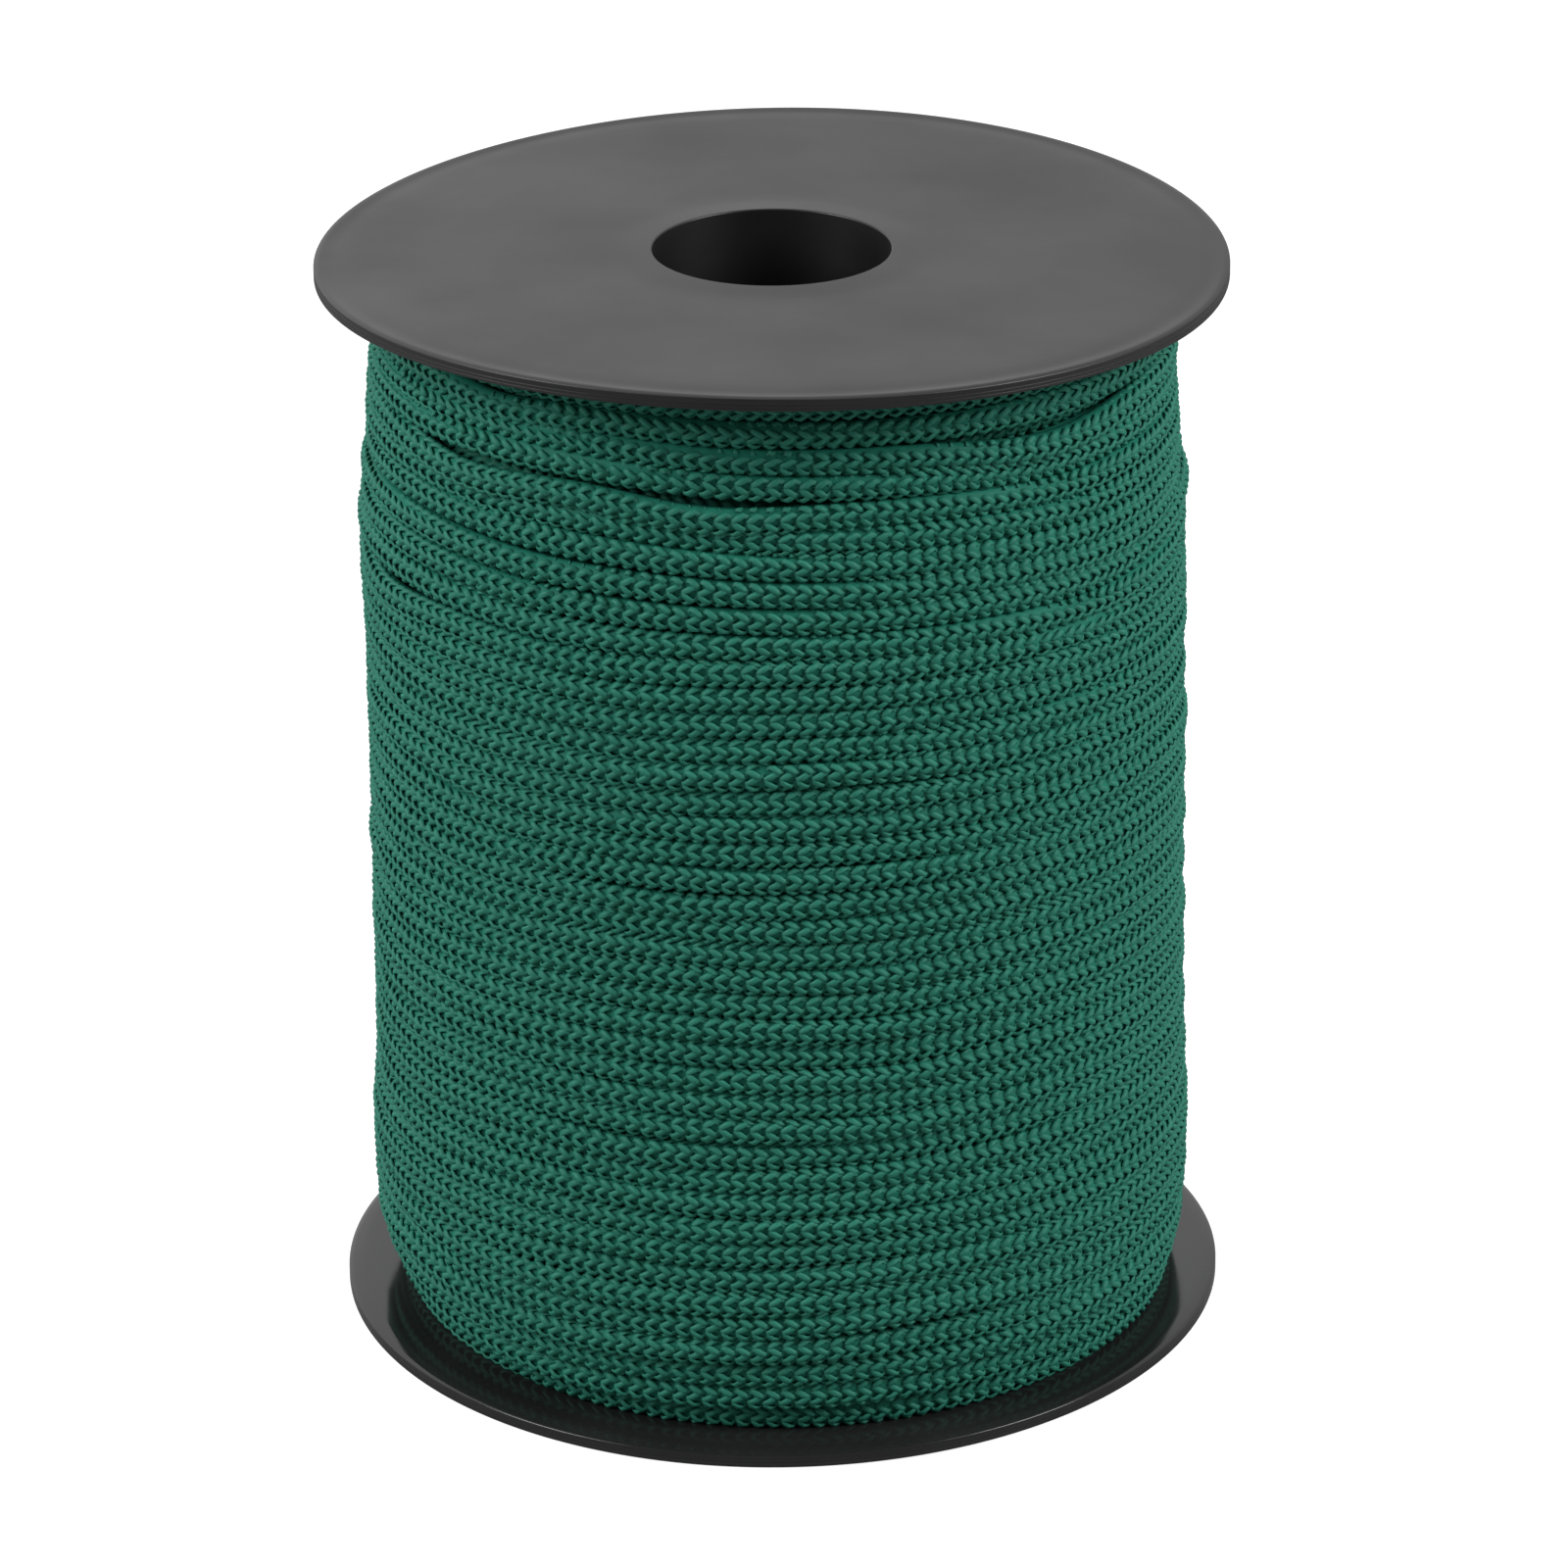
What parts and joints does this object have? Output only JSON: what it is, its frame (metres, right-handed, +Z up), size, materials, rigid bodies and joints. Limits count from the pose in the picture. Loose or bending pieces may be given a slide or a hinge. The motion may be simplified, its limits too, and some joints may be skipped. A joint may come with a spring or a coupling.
{
  "type": "cord spool",
  "caption": "Flanged spool wound full of thick knitted fishing cord; it stands on one flange and pays out from a rod through its central bore.",
  "frame": {"origin": "centre of the resting face, where the bore's axis meets the surface that the spool stands on", "axes": "+Z up along the bore, towards the top flange; X and Y are equivalent, and -Y is the side turned to the viewer"},
  "size_m": [0.13, 0.13, 0.161],
  "materials": {
    "flange_satin": "satin, faintly mottled dark grey moulded plastic",
    "flange_gloss": "glossy black moulded plastic",
    "core_plastic": "dull black extruded plastic",
    "cord": "knitted multifilament cord with a soft sheen, deep green"
  },
  "bodies": {
    "root": {"top_flange": "flange_satin", "bottom_flange": "flange_gloss", "core_tube": "core_plastic", "cord_start": "cord", "cord_layer_01": "cord", "cord_layer_02": "cord", "cord_layer_03": "cord", "cord_layer_04": "cord", "cord_layer_05": "cord", "cord_layer_06": "cord", "cord_layer_07": "cord", "cord_layer_08": "cord", "cord_layer_09": "cord", "cord_layer_10": "cord"}
  },
  "joints": []
}
